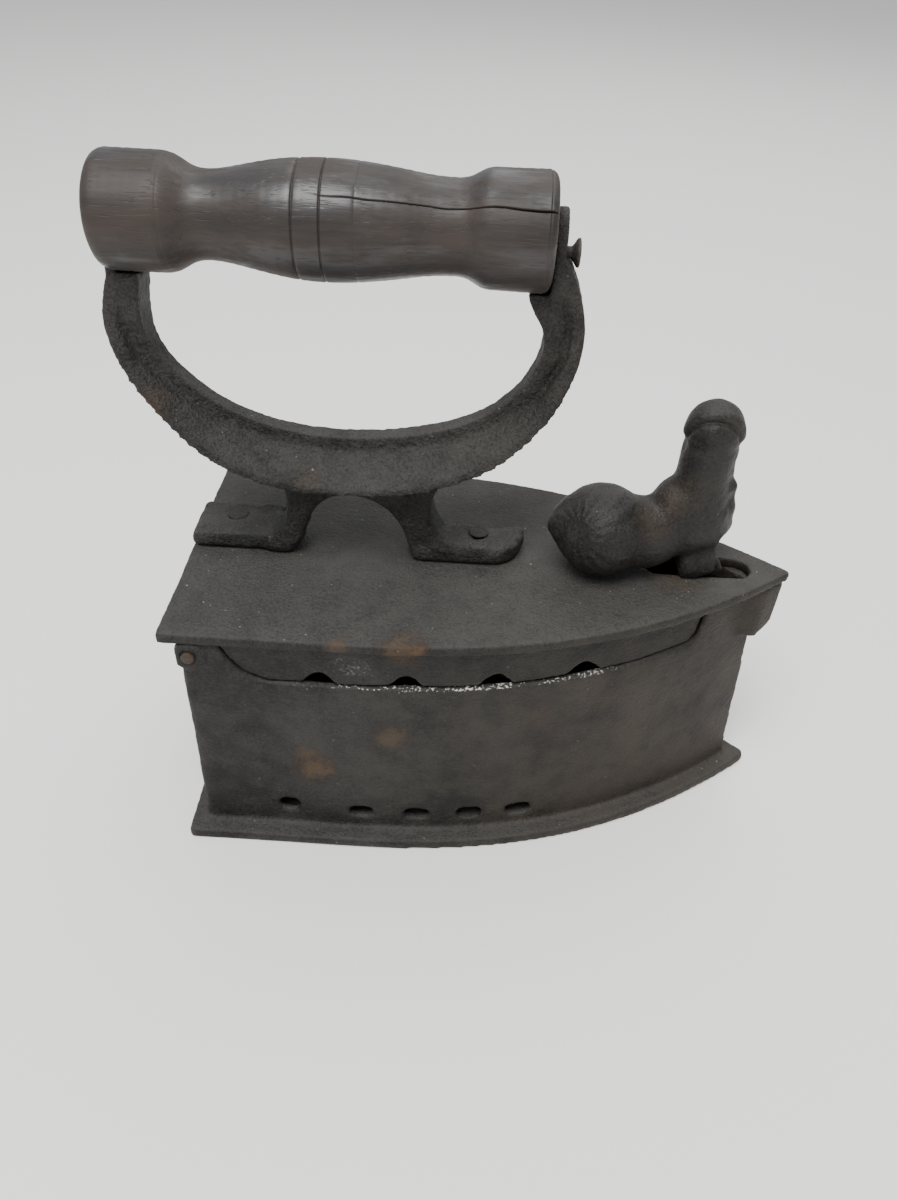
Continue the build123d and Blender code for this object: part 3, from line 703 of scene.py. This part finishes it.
def turn_grip():
    """A spun skin with two end faces."""
    rings = set(np.linspace(GRIP_REAR, GRIP_FRONT, 105))
    rings |= {GRIP_REAR + s for s in (0.05, 0.15, 0.3, 0.55, 0.9, 1.4)}
    rings |= {GRIP_FRONT - s for s in (0.05, 0.15, 0.3, 0.55, 0.9, 1.4)}
    for place, half, _ in GROOVES:
        rings |= {place + half * step for step in np.linspace(-2, 2, 13)}
    rings = np.array(sorted(rings))
    fine = CRACK_ANGLE + np.radians(np.arange(-6, 6.01, 0.4))
    coarse = CRACK_ANGLE + np.radians(np.arange(8, 353, 3.0))
    angles = np.concatenate([fine, coarse])
    x, angle = (part.ravel() for part in np.meshgrid(rings, angles, indexing="ij"))
    radius = smooth_radius(x)
    for place, half, depth in GROOVES:
        radius -= depth * np.exp(-((x - place) / half) ** 2)
    # a lathe leaves faint rings, and wear makes the belly a little uneven
    radius += 0.035 * np.sin(x * 3.1) + 0.02 * np.sin(x * 7.3)
    around = np.stack([x, 9 * np.cos(angle), 9 * np.sin(angle)], 1)
    radius += 0.16 * lumps(around * (0.5, 1, 1), 7.0, 91) + 0.05 * lumps(around * (0.25, 1, 1), 1.6, 92)
    along = np.stack([x, x * 0, x * 0], 1)
    waver = 1.3 * lumps(along, 17, 93) + 0.6 * lumps(along, 5, 94)
    off = np.degrees(angle - CRACK_ANGLE) - waver - 2.2 * ease(x, -8, 9) + 2.0 * (1 - ease(x, -58, -50))
    open_share = ease(x, CRACK_REAR, CRACK_REAR + 14) * (0.45 + 0.6 * ease(x, -14, 9))
    radius -= 1.2 * open_share * np.exp(-(off / (0.45 + 0.30 * open_share)) ** 2)
    points = np.stack([x, AXIS_Y - radius * np.sin(angle), AXIS_Z + radius * np.cos(angle)], 1)
    columns, rows = len(angles), len(rings)
    faces = []
    for row in range(rows - 1):
        for column in range(columns):
            after = (column + 1) % columns
            here = row * columns
            faces.append((here + column, here + after, here + columns + after, here + columns + column))
    middle = len(points)
    points = np.concatenate([points, [(GRIP_REAR, AXIS_Y, AXIS_Z), (GRIP_FRONT, AXIS_Y, AXIS_Z)]])
    last = (rows - 1) * columns
    for column in range(columns):
        after = (column + 1) % columns
        faces.append((middle, after, column))
        faces.append((middle + 1, last + column, last + after))
    mesh = bpy.data.meshes.new("grip_turning")
    mesh.from_pydata((points * MM).tolist(), [], faces)
    mesh.update()
    return new_piece("grip_turning", mesh)


def ear_seat():
    """The space that the bow's rear ear takes in the grip's end, as a prism with a round top."""
    low, high = (np.array(corner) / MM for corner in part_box("rod_washer"))
    round_z = (low[2] + high[2]) / 2 + EAR_OVER_ROD
    arc = np.radians(np.linspace(0, 180, 25))
    outline = [(SEAT_HALF * math.cos(a), round_z + SEAT_HALF * math.sin(a)) for a in arc]
    outline += [(-SEAT_HALF, SEAT_FOOT_Z), (SEAT_HALF, SEAT_FOOT_Z)]
    rear = [(GRIP_REAR - 2, y, z) for y, z in outline]
    front = [(GRIP_REAR + SEAT_DEPTH, y, z) for y, z in outline]
    count = len(outline)
    sides = [(i, (i + 1) % count, count + (i + 1) % count, count + i) for i in range(count)]
    faces = sides + [tuple(range(count))[::-1], tuple(range(count, 2 * count))]
    mesh = bpy.data.meshes.new("ear_seat")
    mesh.from_pydata([tuple(MM * c for c in point) for point in rear + front], [], faces)
    mesh.update()
    return new_piece("ear_seat", mesh)


grip = turn_grip()
cutter = ear_seat()
cut = grip.modifiers.new("seat", "BOOLEAN")
cut.operation = "DIFFERENCE"
cut.object = cutter
made_real(grip)
bpy.data.objects.remove(cutter)
settle(grip, 1, "wooden_grip", "lid_assembly", "grip_wood", old_wood("grip_wood"))

# %% [markdown]
# ## Rod, pins and rivets
# The rod through the grip has a head that was flared with a hammer. The rivets were closed hot, so their
# heads are low, uneven discs of the same dark iron as the feet they hold.

# %% Small iron
wire_skin = rusty_wire("wire_rust", 0.35)
pin_skin = rusty_wire("pin_rust", 0.7, 0.8)
rivet_skin = cast_iron("rivet_iron", tone=0.8, brown=0.3, dust=0.5, grain=1.5)
small_pieces = (
    ("hinge_pin", "base", "pin_steel", pin_skin, 0.28),
    ("grip_rod", "rod", "pin_steel", wire_skin, 0.28),
    ("rod_washer", "rod", "pin_steel", wire_skin, 0.25),
    ("latch_pin", "lid_assembly", "pin_steel", pin_skin, 0.22),
    ("foot_rivets", "lid_assembly", "rivet_iron", rivet_skin, 0.25),
    ("rivet_burrs", "lid_assembly", "rivet_iron", rivet_skin, 0.25),
)
for node, body_name, slot, skin, voxel in small_pieces:
    small = casting(node, node + "_forging", voxel, 14 if node == "foot_rivets" else 4)
    roughen(small, 0.06, 0.10 if node == "foot_rivets" else 0.05, 0.0, seed=51)
    settle(small, 0.35, node, body_name, slot, skin)
